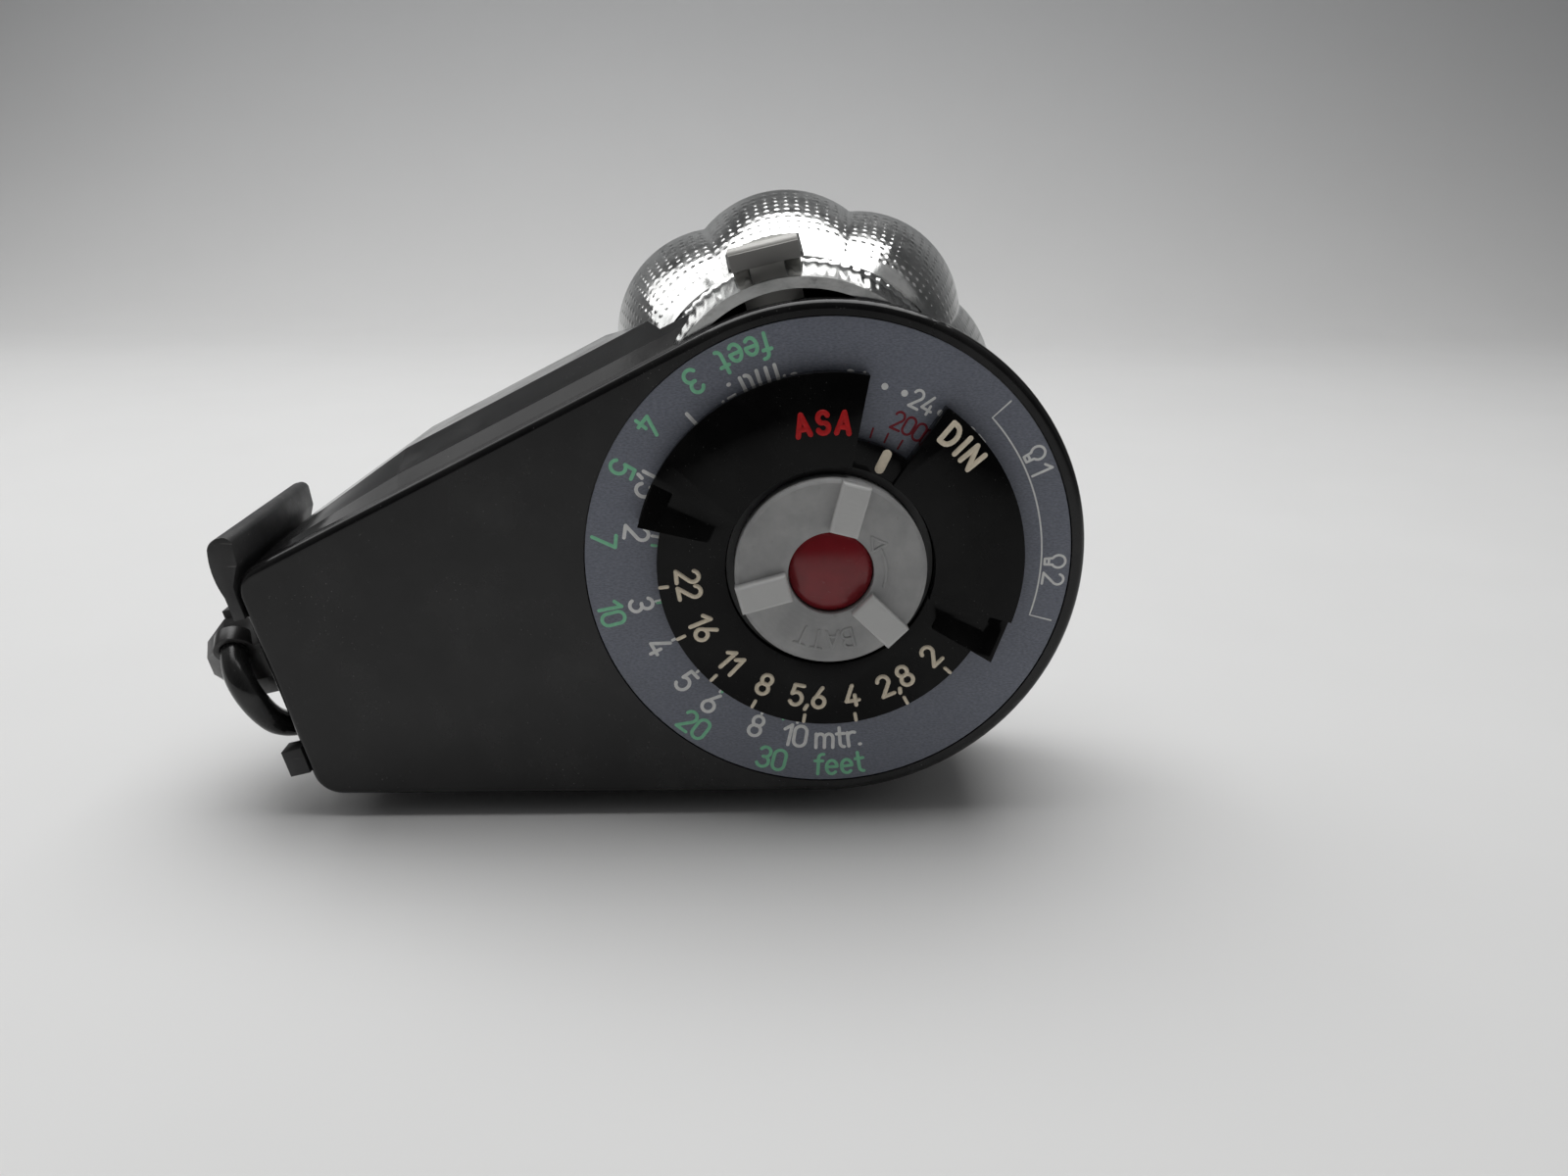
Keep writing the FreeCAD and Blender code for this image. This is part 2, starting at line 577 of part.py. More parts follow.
nodes["sync_plug_sleeve"] = sync_plug_sleeve()
nodes["sync_plug_pin"] = sync_plug_pin()
cord = cable(CORD_ROUTE, CORD_R - 0.02, "sync cord")
nodes["cord_gland"] = cord_gland().cut(cable(CORD_ROUTE, CORD_R, "gland bore"))
nodes["sync_cord"] = cord
nodes["circuit_board"] = circuit_board()
nodes["capacitor"] = capacitor()
nodes["resistor"] = resistor()
nodes["hookup_wires"] = hookup_wires()

# turn the case on to its lower flank, then centre its box over the origin
for shape in nodes.values():
    shape.rotate(V(0, 0, 0), V(0, -1, 0), LIE_ANGLE)
whole = FreeCAD.BoundBox()
for shape in nodes.values():
    whole.add(shape.optimalBoundingBox(False))
shift = V(-whole.Center.x, -whole.Center.y, -whole.ZMin)
print("dial centre at", [round(c, 3) for c in shift], "size",
      [round(c, 2) for c in (whole.XLength, whole.YLength, whole.ZLength)])

os.makedirs("parts", exist_ok=True)
for name, shape in nodes.items():
    shape.translate(shift)
    print(name, "solids", len(shape.Solids), "valid", shape.isValid(), "volume", round(shape.Volume, 1))
    shape.exportStep("parts/" + name + ".step")
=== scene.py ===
import math

import bmesh
import bpy
from mathutils import Matrix, Vector


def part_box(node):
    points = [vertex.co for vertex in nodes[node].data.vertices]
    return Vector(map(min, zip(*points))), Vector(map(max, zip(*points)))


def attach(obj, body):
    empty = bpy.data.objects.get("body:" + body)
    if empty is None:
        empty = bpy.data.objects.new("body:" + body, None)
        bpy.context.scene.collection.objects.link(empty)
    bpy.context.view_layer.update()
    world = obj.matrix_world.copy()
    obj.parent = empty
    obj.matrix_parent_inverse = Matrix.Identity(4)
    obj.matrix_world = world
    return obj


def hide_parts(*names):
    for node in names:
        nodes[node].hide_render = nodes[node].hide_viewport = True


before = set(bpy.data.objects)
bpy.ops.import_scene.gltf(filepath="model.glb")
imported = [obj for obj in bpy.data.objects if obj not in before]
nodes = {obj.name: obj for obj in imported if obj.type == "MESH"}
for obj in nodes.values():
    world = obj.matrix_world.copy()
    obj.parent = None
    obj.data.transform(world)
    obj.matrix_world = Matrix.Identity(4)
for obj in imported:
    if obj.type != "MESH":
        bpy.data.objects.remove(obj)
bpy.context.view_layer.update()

# Case axes, as in the CAD: x along the case from tail to head, y from the dial face to the flash side,
# z across the case, in millimetres, with the dial centre as the origin.  The case lies turned by LIE.
# Level axes have the same origin and depth, and aren't turned.
MM = 0.001
LIE = math.radians(13.65)
button_low, button_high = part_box("test_button")
BUTTON_TOP_Y = -2.95
ORIGIN = Vector(((button_low.x + button_high.x) / 2, button_low.y - BUTTON_TOP_Y * MM,
                 (button_low.z + button_high.z) / 2))


def level(x, y, z):
    return ORIGIN + Vector((x, y, z)) * MM


def case(x, y, z):
    c, s = math.cos(LIE), math.sin(LIE)
    return level(x * c - z * s, y, x * s + z * c)


def direction(angle):
    """Unit vector at an angle in degrees, in the plane of the dial."""
    a = math.radians(angle)
    return Vector((math.cos(a), math.sin(a)))


# ---- materials ----------------------------------------------------------------------------------
class Finish:
    """A principled material whose textures all use the object's own coordinates."""

    def __init__(self, name, **sockets):
        self.material = bpy.data.materials.new(name)
        self.material.use_nodes = True
        self.tree = self.material.node_tree
        self.shader = self.tree.nodes["Principled BSDF"]
        for key, value in sockets.items():
            self.shader.inputs[key.replace("_", " ")].default_value = value
        self.coords = self.add("ShaderNodeTexCoord").outputs["Object"]
        self.height = None

    def add(self, kind, **values):
        node = self.tree.nodes.new(kind)
        for key, value in values.items():
            setattr(node, key, value)
        return node

    def link(self, a, b):
        self.tree.links.new(a, b)

    def stretched(self, x, y, z, turn=0.0):
        node = self.add("ShaderNodeMapping")
        node.inputs["Scale"].default_value = (x, y, z)
        node.inputs["Rotation"].default_value = (0, turn, 0)
        self.link(self.coords, node.inputs["Vector"])
        return node.outputs["Vector"]

    def noise(self, size, detail=4.0, roughness=0.55, vector=None):
        """Noise whose features are about size millimetres."""
        node = self.add("ShaderNodeTexNoise")
        node.inputs["Scale"].default_value = 1000.0 / size
        node.inputs["Detail"].default_value = detail
        node.inputs["Roughness"].default_value = roughness
        self.link(vector or self.coords, node.inputs["Vector"])
        return node.outputs["Fac"]

    def specks(self, size, radius):
        """Round specks, one or none in each cell of about size millimetres; 1 inside a speck."""
        node = self.add("ShaderNodeTexVoronoi")
        node.inputs["Scale"].default_value = 1000.0 / size
        self.link(self.coords, node.inputs["Vector"])
        return self.ramp(node.outputs["Distance"], (radius * 0.6, 1.0), (radius, 0.0))

    def ramp(self, value, *stops):
        node = self.add("ShaderNodeValToRGB")
        elements = node.color_ramp.elements
        while len(elements) < len(stops):
            elements.new(0.5)
        for element, (position, shade) in zip(elements, stops):
            element.position = position
            element.color = tuple(shade) + (1,) if hasattr(shade, "__len__") else (shade, shade, shade, 1)
        self.link(value, node.inputs["Fac"])
        return node.outputs["Color"]

    def math(self, operation, a, b):
        node = self.add("ShaderNodeMath", operation=operation)
        node.inputs[2].default_value = 0.5     # what a multiply-add adds
        for value, socket in ((a, node.inputs[0]), (b, node.inputs[1])):
            if isinstance(value, (int, float)):
                socket.default_value = value
            else:
                self.link(value, socket)
        return node.outputs[0]

    def mix(self, fraction, a, b):
        node = self.add("ShaderNodeMix", data_type="RGBA")
        for value, name in ((fraction, "Factor"), (a, "A"), (b, "B")):
            socket = node.inputs[name]
            if isinstance(value, (tuple, list)):
                socket.default_value = tuple(value) + (1,)
            elif isinstance(value, (int, float)):
                socket.default_value = value
            else:
                self.link(value, socket)
        return node.outputs["Result"]

    def colour(self, value):
        self.link(value, self.shader.inputs["Base Color"])

    def rough(self, value, low, high):
        self.link(self.ramp(value, (0.3, low), (0.7, high)), self.shader.inputs["Roughness"])

    def bump(self, value, depth):
        """Relief of depth millimetres; later calls lie on top of earlier ones."""
        node = self.add("ShaderNodeBump")
        node.inputs["Strength"].default_value = 1.0
        node.inputs["Distance"].default_value = depth * MM
        self.link(value, node.inputs["Height"])
        if self.height is not None:
            self.link(self.height, node.inputs["Normal"])
        self.height = node.outputs["Normal"]
        self.link(self.height, self.shader.inputs["Normal"])
        return self


def plastic(name, shade, roughness, grain=0.0, grain_size=0.3, dust=0.0, dust_shade=(0.3, 0.3, 0.29),
            variation=0.25, specular=0.5, scratches=0.0):
    """Moulded plastic: uneven shade, smudged gloss, grain, dust specks and hairline scratches."""
    f = Finish(name, Specular_IOR_Level=specular)
    dark = tuple(c * (1 - variation) for c in shade)
    light = tuple(min(1.0, c * (1 + variation)) for c in shade)
    colour = f.mix(f.ramp(f.noise(3.0), (0.35, 0.0), (0.65, 1.0)), dark, light)
    if scratches:
        lines = f.noise(0.35, 2.0, vector=f.stretched(0.06, 1.0, 1.0, 0.5))
        lines = f.ramp(lines, (0.70, 0.0), (0.74, scratches))
        colour = f.mix(lines, colour, dust_shade)
    if dust:
        patchy = f.ramp(f.noise(6.0), (0.45, 0.0), (0.7, 1.0))
        small = f.specks(0.55, 0.11)
        colour = f.mix(f.math("MULTIPLY", f.math("MULTIPLY", small, patchy), dust), colour, dust_shade)
        film = f.ramp(f.noise(9.0, 6.0), (0.45, 0.0), (0.8, dust * 0.10))
        colour = f.mix(film, colour, dust_shade)
    f.colour(colour)
    low, high = roughness
    f.rough(f.noise(4.0, 5.0), low, high)
    f.bump(f.noise(1.6, 2.0), 0.004)
    if grain:
        f.bump(f.noise(grain_size, 3.0), grain)
    return f.material


def painted_plate():
    """Blue-grey printed aluminium plate with a fine rolled grain."""
    f = Finish("plate_blue_grey", Specular_IOR_Level=0.4, Metallic=0.0)
    grain = f.noise(0.12, 3.0, vector=f.stretched(0.35, 1.0, 1.0))
    colour = f.mix(f.ramp(grain, (0.3, 0.0), (0.7, 1.0)), (0.155, 0.166, 0.205), (0.25, 0.268, 0.32))
    colour = f.mix(f.ramp(f.noise(7.0), (0.4, 0.0), (0.75, 0.25)), colour, (0.135, 0.14, 0.165))
    colour = f.mix(f.math("MULTIPLY", f.specks(0.8, 0.07), 0.5), colour, (0.4, 0.4, 0.4))
    f.colour(colour)
    f.rough(f.noise(2.0), 0.32, 0.45)
    f.bump(grain, 0.006)
    return f.material


def silvering(name):
    """Vacuum-metallised plastic, a little cloudy, with the coating worn thin in patches."""
    f = Finish(name, Metallic=1.0)
    wear = f.ramp(f.noise(2.2, 8.0, 0.7), (0.56, 0.0), (0.66, 1.0))
    cloud = f.mix(f.ramp(f.noise(3.0, 5.0), (0.35, 0.0), (0.7, 1.0)), (0.80, 0.80, 0.79), (0.60, 0.61, 0.60))
    f.colour(f.mix(f.math("MULTIPLY", wear, 0.45), cloud, (0.22, 0.22, 0.21)))
    f.rough(f.noise(2.5, 6.0), 0.07, 0.2)
    f.bump(f.noise(1.3, 3.0), 0.015)
    return f.material


def metal(name, shade, low, high, brushed=0.0):
    f = Finish(name, Metallic=1.0)
    grain = f.noise(0.2, 4.0, vector=f.stretched(0.2, 1.0, 1.0))
    f.colour(f.mix(f.ramp(grain, (0.35, 0.0), (0.7, 1.0)), tuple(c * 0.75 for c in shade), shade))
    f.rough(f.noise(1.0), low, high)
    f.bump(grain, 0.002 + brushed)
    return f.material


def paint(name, shade, dark=0.8):
    """Screen-printed or filled-in paint, slightly uneven."""
    f = Finish(name, Specular_IOR_Level=0.3)
    f.colour(f.mix(f.ramp(f.noise(0.5), (0.35, 0.0), (0.65, 1.0)), tuple(c * dark for c in shade), shade))
    f.rough(f.noise(0.6), 0.45, 0.65)
    f.bump(f.noise(0.15), 0.004)
    return f.material


def striped_plastic():
    """Light grey moulded plastic of the battery cap, with faint turning marks round its middle."""
    f = Finish("cap_grey_plastic", Specular_IOR_Level=0.45)
    centre = f.add("ShaderNodeMapping")
    centre.inputs["Location"].default_value = tuple(-c for c in ORIGIN)
    f.link(f.coords, centre.inputs["Vector"])
    rings = f.add("ShaderNodeTexWave", wave_type="RINGS", rings_direction="Y")
    rings.inputs["Scale"].default_value = 620.0
    rings.inputs["Distortion"].default_value = 6.0
    rings.inputs["Detail"].default_value = 3.0
    rings.inputs["Detail Scale"].default_value = 0.6
    f.link(centre.outputs["Vector"], rings.inputs["Vector"])
    cloudy = f.ramp(f.noise(2.5, 6.0), (0.35, 0.0), (0.7, 1.0))
    colour = f.mix(cloudy, (0.35, 0.35, 0.35), (0.45, 0.45, 0.445))
    dirt = f.ramp(f.noise(0.9, 6.0, 0.7), (0.62, 0.0), (0.74, 0.35))
    colour = f.mix(dirt, colour, (0.13, 0.12, 0.11))
    # the raised ribs are painted lighter: partly their own worn, lighter plastic, partly painted light on
    # their tops
    depth = f.add("ShaderNodeSeparateXYZ")
    f.link(centre.outputs["Vector"], depth.inputs[0])
    rib_tone_and_painted_light = f.ramp(f.math("MULTIPLY", depth.outputs["Y"], -100.0), (0.325, 0.0), (0.40, 1.0))
    f.colour(f.mix(rib_tone_and_painted_light, colour, (0.62, 0.62, 0.61)))
    f.rough(f.noise(1.5, 4.0), 0.3, 0.5)
    f.bump(rings.outputs["Fac"], 0.006)
    f.bump(f.noise(0.25), 0.004)
    return f.material


def ribbed_plastic():
    """Light grey plastic of the ejector, with painted shade in the grooves between its ribs."""
    f = Finish("slider_light_grey", Specular_IOR_Level=0.4)
    depth = f.add("ShaderNodeSeparateXYZ")
    f.link(f.coords, depth.inputs[0])
    first, pitch = ORIGIN.y + 7.3 * MM, 1.6 * MM
    phase = f.math("MULTIPLY", f.math("SUBTRACT", depth.outputs["Y"], first), 2 * math.pi / pitch)
    crest = f.math("MULTIPLY_ADD", f.math("COSINE", phase, 0.0), 0.5)
    # painted shade: the grooves between the ribs are coloured dark where shade falls between them
    painted_groove_shade = f.ramp(crest, (0.08, 0.75), (0.45, 0.0))
    f.colour(f.mix(painted_groove_shade, (0.66, 0.65, 0.62), (0.16, 0.155, 0.15)))
    f.rough(f.noise(1.5), 0.32, 0.5)
    f.bump(f.noise(0.3), 0.006)
    return f.material


BLACK = plastic("case_black_gloss", (0.0055, 0.0053, 0.0055), (0.10, 0.2), dust=0.55, specular=0.38,
                grain=0.0015, grain_size=0.4)
DISC_BLACK = plastic("disc_black_gloss", (0.0025, 0.0025, 0.0025), (0.07, 0.14), dust=0.25, specular=0.14)
MATTE_BLACK = plastic("foot_black_satin", (0.022, 0.022, 0.023), (0.38, 0.6), dust=0.9, grain=0.02,
                      grain_size=0.25, scratches=0.4, dust_shade=(0.26, 0.25, 0.24))
PLUG_BLACK = plastic("plug_black_satin", (0.016, 0.015, 0.015), (0.22, 0.42), dust=0.7, grain=0.006,
                     scratches=0.3)
CORD_BLACK = plastic("cord_black_vinyl", (0.010, 0.010, 0.010), (0.14, 0.3), dust=0.5, grain=0.004)
CHAMBER = plastic("chamber_black_moulding", (0.006, 0.006, 0.006), (0.3, 0.45), dust=0.4)
PLATE = painted_plate()
CAP_GREY = striped_plastic()
RIB_GREY = ribbed_plastic()
RED = plastic("button_deep_red", (0.24, 0.010, 0.016), (0.16, 0.32), variation=0.12, dust=0.12,
              dust_shade=(0.5, 0.35, 0.3), scratches=0.06)
SILVER = silvering("reflector_silvering")
STEEL = metal("steel_zinc_plated", (0.62, 0.62, 0.60), 0.22, 0.38, 0.003)
BRASS = metal("brass_tarnished", (0.70, 0.50, 0.22), 0.22, 0.42)
NYLON = plastic("nylon_natural", (0.55, 0.53, 0.46), (0.4, 0.55), grain=0.004, variation=0.06)
PHENOLIC = plastic("phenolic_brown", (0.16, 0.075, 0.03), (0.35, 0.5), grain=0.006, variation=0.2)
SLEEVE = plastic("battery_sleeve_green", (0.03, 0.12, 0.07), (0.2, 0.35), variation=0.1)
CAN = plastic("capacitor_sleeve_blue", (0.02, 0.05, 0.16), (0.25, 0.4), variation=0.1)
RESISTOR = plastic("resistor_tan", (0.38, 0.26, 0.14), (0.3, 0.45), variation=0.1)
WIRE = plastic("wire_red_vinyl", (0.35, 0.02, 0.015), (0.25, 0.4), variation=0.1)
WHITE_INK = paint("ink_white", (0.93, 0.93, 0.91), 0.9)
GREEN_INK = paint("ink_green", (0.30, 0.74, 0.46), 0.88)
RED_INK = paint("ink_dark_red", (0.26, 0.018, 0.03))
CREAM = paint("paint_cream", (0.95, 0.84, 0.66), 0.88)
RED_PAINT = paint("paint_red", (0.62, 0.012, 0.014))


# ---- mesh helpers -------------------------------------------------------------------------------
def piece(name, bm, material, body, replaced=(), sharp=35.0):
    mesh = bpy.data.meshes.new(name)
    bm.to_mesh(mesh)
    bm.free()
    obj = bpy.data.objects.new(name, mesh)
    bpy.context.scene.collection.objects.link(obj)
    mesh.materials.append(material)
    mesh.polygons.foreach_set("use_smooth", [True] * len(mesh.polygons))
    mesh.set_sharp_from_angle(angle=math.radians(sharp))
    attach(obj, body)
    if replaced:
        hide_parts(*replaced)
    return obj


def rounded(node, name, material, body, width, segments=2, angle=32.0):
    """A copy of a CAD node whose hard edges are rounded to width millimetres."""
    bm = bmesh.new()
    bm.from_mesh(nodes[node].data)
    bmesh.ops.remove_doubles(bm, verts=bm.verts, dist=2e-6)
    bmesh.ops.dissolve_limit(bm, angle_limit=math.radians(0.3), verts=bm.verts, edges=bm.edges)
    hard = [e for e in bm.edges if len(e.link_faces) == 2 and e.calc_face_angle(0) > math.radians(angle)]
    bmesh.ops.bevel(bm, geom=hard, offset=width * MM, offset_type="OFFSET", segments=segments, profile=0.5,
                    affect="EDGES", clamp_overlap=True)
    return piece(name, bm, material, body, (node,))


def interpolate(rows, y):
    """Smooth curve through rows of numbers whose first column is y."""
    if y <= rows[0][0]:
        return rows[0][1:]
    if y >= rows[-1][0]:
        return rows[-1][1:]
    k = max(i for i in range(len(rows) - 1) if rows[i][0] <= y)
    before, a, b = rows[max(k - 1, 0)], rows[k], rows[k + 1]
    after = rows[min(k + 2, len(rows) - 1)]
    t = (y - a[0]) / (b[0] - a[0])
    values = []
    for i in range(1, len(a)):
        slope_a = (b[i] - before[i]) / (b[0] - before[0])
        slope_b = (after[i] - a[i]) / (after[0] - a[0])
        run = b[0] - a[0]
        values.append(a[i] * (2 * t**3 - 3 * t**2 + 1) + slope_a * run * (t**3 - 2 * t**2 + t)
                      + b[i] * (-2 * t**3 + 3 * t**2) + slope_b * run * (t**3 - t**2))
    return values


def ring_surface(bm, loops, closed_round=True, closed_section=True):
    """Faces between loops of points; each loop goes round the section at one angle."""
    rings = [[bm.verts.new(p) for p in loop] for loop in loops]
    count = len(rings)
    for i in range(count if closed_round else count - 1):
        a, b = rings[i], rings[(i + 1) % count]
        n = len(a)
        for j in range(n if closed_section else n - 1):
            bm.faces.new((a[j], a[(j + 1) % n], b[(j + 1) % n], b[j]))
    return rings


# ---- lettering ----------------------------------------------------------------------------------
def arc(cx, cy, rx, ry, a0, a1):
    count = max(4, int(abs(a1 - a0) / 18))
    return [(cx + rx * math.cos(math.radians(a0 + (a1 - a0) * k / count)),
             cy + ry * math.sin(math.radians(a0 + (a1 - a0) * k / count))) for k in range(count + 1)]


# each character: its width and its strokes, in units of the height of a capital
GLYPHS = {
    "0": (0.54, [arc(.27, .73, .27, .27, 0, 180) + arc(.27, .27, .27, .27, 180, 360) + [(.54, .73)]]),
    "1": (0.34, [[(.02, .74), (.30, 1.0)], [(.30, 1.0), (.30, 0)]]),
    "2": (0.54, [arc(.27, .73, .26, .27, 165, -38) + [(.0, .0)], [(.0, .0), (.54, .0)]]),
    "3": (0.54, [arc(.27, .75, .24, .25, 155, -90), arc(.27, .26, .27, .26, 100, -155)]),
    "4": (0.58, [[(.36, 1.0), (.0, .24)], [(.0, .24), (.58, .24)], [(.42, .50), (.42, .0)]]),
    "5": (0.54, [[(.50, 1.0), (.09, 1.0)], [(.09, 1.0), (.05, .54)],
                 [(.05, .54)] + arc(.26, .32, .28, .32, 118, -148)]),
    "6": (0.54, [[(.40, 1.0), (.05, .42)] + arc(.27, .28, .27, .28, 150, 505)]),
    "7": (0.52, [[(.0, 1.0), (.52, 1.0)], [(.52, 1.0), (.17, .0)]]),
    "8": (0.54, [arc(.27, .755, .235, .245, 0, 360), arc(.27, .27, .27, .27, 0, 360)]),
    ",": (0.10, [[(.08, .06), (.0, -.14)]]),
    ".": (0.08, [[(.02, .03), (.06, .03)]]),
    "f": (0.34, [arc(.34, .80, .19, .20, 80, 180) + [(.15, .0)], [(.0, .66), (.34, .66)]]),
    "e": (0.50, [[(.02, .36), (.48, .36)] + arc(.25, .34, .24, .34, 5, 312)]),
    "t": (0.34, [[(.13, .96), (.13, .20)] + arc(.31, .20, .18, .20, 180, 270), [(.0, .66), (.34, .66)]]),
    "m": (0.78, [[(.0, .0), (.0, .68)], [(.0, .44)] + arc(.19, .46, .19, .22, 180, 0) + [(.38, .0)],
                 [(.38, .44)] + arc(.57, .46, .19, .22, 180, 0) + [(.76, .0)]]),
    "r": (0.30, [[(.0, .0), (.0, .68)], [(.0, .42)] + arc(.22, .44, .22, .24, 180, 62)]),
    "A": (0.60, [[(.0, .0), (.30, 1.0)], [(.30, 1.0), (.60, .0)], [(.11, .30), (.49, .30)]]),
    "S": (0.54, [arc(.27, .74, .24, .26, 25, 270) + arc(.27, .25, .26, .25, 90, -155)]),
    "D": (0.56, [[(.0, .0), (.0, 1.0)],
                 [(.0, 1.0), (.20, 1.0)] + arc(.20, .5, .35, .5, 90, -90) + [(.0, .0)]]),
    "I": (0.04, [[(.02, .0), (.02, 1.0)]]),
    "N": (0.56, [[(.0, .0), (.0, 1.0)], [(.0, 1.0), (.56, .0)], [(.56, .0), (.56, 1.0)]]),
    "B": (0.54, [[(.0, .0), (.0, 1.0)],
                 [(.0, 1.0), (.26, 1.0)] + arc(.26, .76, .23, .24, 90, -90) + [(.0, .52)],
                 [(.26, .52)] + arc(.26, .26, .27, .26, 90, -90) + [(.0, .0)]]),
    "T": (0.56, [[(.0, 1.0), (.56, 1.0)], [(.28, 1.0), (.28, .0)]]),
    # a flash bulb: round glass, neck and base
    "o": (0.62, [arc(.31, .66, .31, .33, -58, 238), [(.15, .38), (.17, .0)], [(.47, .38), (.45, .0)],
                 [(.17, .0), (.45, .0)], [(.16, .20), (.46, .20)]]),
}


def capped(points, width):
    """Points with the radius there, so that a tube along them has round ends."""
    pts = [Vector((p[0], 0, p[1])) for p in points]
    first = (pts[0] - pts[1]).normalized()
    last = (pts[-1] - pts[-2]).normalized()
    steps = (80, 50, 25)
    out = [(pts[0] + first * width / 2 * math.sin(math.radians(a)), math.cos(math.radians(a)))
           for a in steps]
    out += [(p, 1.0) for p in pts]
    out += [(pts[-1] + last * width / 2 * math.sin(math.radians(a)), math.cos(math.radians(a)))
            for a in reversed(steps)]
    return [(p, r * width / 2) for p, r in out]


def text_strokes(text, angle, radius, height, outward, gap=0.17):
    """Strokes of a word set round the dial, in level millimetres: angle and radius are its middle's."""
    widths = [GLYPHS[c][0] * height for c in text]
    gaps = gap * height
    total = sum(widths) + gaps * (len(text) - 1)
    turn = -1 if outward else 1
    strokes, start = [], -total / 2
    for char, width in zip(text, widths):
        a = math.radians(angle) + turn * (start + width / 2) / radius
        out = Vector((math.cos(a), math.sin(a)))
        up = out * -turn
        right = Vector((-math.sin(a), math.cos(a))) * turn
        middle = out * radius
        for stroke in GLYPHS[char][1]:
            strokes.append([middle + right * (u * height - width / 2) + up * ((v - 0.5) * height)
                            for u, v in stroke])
        start += width + gaps
    return strokes


def line_strokes(angle, r0, r1):
    return [[direction(angle) * r0, direction(angle) * r1]]


def dot_strokes(angle, radius):
    p = direction(angle) * radius
    return [[p, p + Vector((0.02, 0.0))]]


def curve_to_bmesh(curve):
    """The mesh of a curve; the curve itself is removed."""
    holder = bpy.data.objects.new(curve.name, curve)
    mesh = bpy.data.meshes.new_from_object(holder)
    bm = bmesh.new()
    bm.from_mesh(mesh)
    bpy.data.objects.remove(holder)
    bpy.data.meshes.remove(mesh)
    bpy.data.curves.remove(curve)
    return bm


def relief(name, strokes, surface, thickness, material, body):
    """Raised strokes on a face of the dial. strokes is a list of (points, width); surface gives the
    face's depth at a radius; thickness is how far the strokes stand out of it."""
    curve = bpy.data.curves.new(name + "_path", "CURVE")
    curve.dimensions = "3D"
    curve.bevel_depth = 1.0
    curve.bevel_resolution = 2
    curve.use_fill_caps = True
    for points, width in strokes:
        capped_points = capped(points, width)
        spline = curve.splines.new("POLY")
        spline.points.add(len(capped_points) - 1)
        for target, (p, r) in zip(spline.points, capped_points):
            target.co = (p.x, p.y, p.z, 1)
            target.radius = r
    bm = curve_to_bmesh(curve)
    widest = max(w for _, w in strokes) / 2
    for v in bm.verts:
        x, y, z = v.co
        v.co = level(x, surface(math.hypot(x, z)) + y / widest * thickness, z)
    bmesh.ops.recalc_face_normals(bm, faces=bm.faces)
    piece(name, bm, material, body, sharp=60)


def plate_face(_radius):
    return 0.08


def disc_face(_radius):
    return -1.2


def cone_face(radius):
    return -2.1 + 0.6 * (radius - 10.0) / 9.1


def cap_face(_radius):
    return -3.0


def plate_scales():
    feet_r, metre_r, height, pen = 22.2, 19.1, 2.32, 0.37
    green, white, red = [], [], []
    feet = {"feet": (112, 274), "3": (126,), "4": (141.8,), "5": (154.5,), "7": (173.7,), "10": (193.5,),
            "20": (232.3,), "30": (255.5,)}
    for text, angles in feet.items():
        for a in angles:
            green += [(s, pen) for s in text_strokes(text, a, feet_r, height, False)]
            if text != "feet":
                green += [(s, 0.3) for s in line_strokes(a, 17.1, 17.5)]
    metres = {"1": 131.9, "1,5": 155, "2": 170.6, "3": 192.9, "4": 207.4, "5": 221.3, "6": 231.8, "8": 248,
              "10": 260.5, "mtr.": 274}
    for text, a in metres.items():
        white += [(s, pen) for s in text_strokes(text, a, metre_r, height, False, 0.15)]
        if text != "mtr.":
            white += [(s, 0.3) for s in line_strokes(a, 17.0, 17.6)]
    white += [(s, pen) for s in text_strokes("mtr.", 112.5, metre_r, height, False, 0.15)]

    # two kinds of bulb share the scales: a bracket with a sign for each
    bracket_r, plate_edge = 21.1, 23.4
    first, last = 43.8, -15.0
    line = [direction(first - 1.4 * k) * bracket_r for k in range(43)]
    white.append(([direction(first) * plate_edge] + line + [direction(last) * plate_edge], 0.17))
    for text, a in (("o1", 27.7), ("o2", -1.7)):
        white += [(s, 0.26) for s in text_strokes(text, a, 22.5, 2.1, True, 0.3)]

    # film-speed scales under the window, a step of 6.27 degrees for each speed, set wider from 21 DIN down
    step, din_r, asa_r, small = 6.27, 18.2, 15.6, 1.75
    asa = {15: "25", 18: "50", 21: "100", 24: "200", 27: "400", 30: "800"}
    for din in range(15, 31):
        slow = din < 22
        a = 62.0 - (din - 24) * step + (3.0 if slow else 0.0)
        if din % 3 == 0:
            white += [(s, 0.27) for s in text_strokes(str(din), a, din_r, small, True)]
            asa_a = a + (2.6 if slow else 0.0)
            red += [(s, 0.24) for s in text_strokes(asa[din], asa_a, asa_r, small, True, 0.13)]
        else:
            white += [(s, 0.66) for s in dot_strokes(a, din_r)]
        red += [(s, 0.2) for s in line_strokes(a - 0.6, 13.2, 14.1)]
    relief("scale_feet", green, plate_face, 0.03, GREEN_INK, "case")
    relief("scale_metres_and_din", white, plate_face, 0.03, WHITE_INK, "case")
    relief("scale_asa", red, plate_face, 0.03, RED_INK, "case")


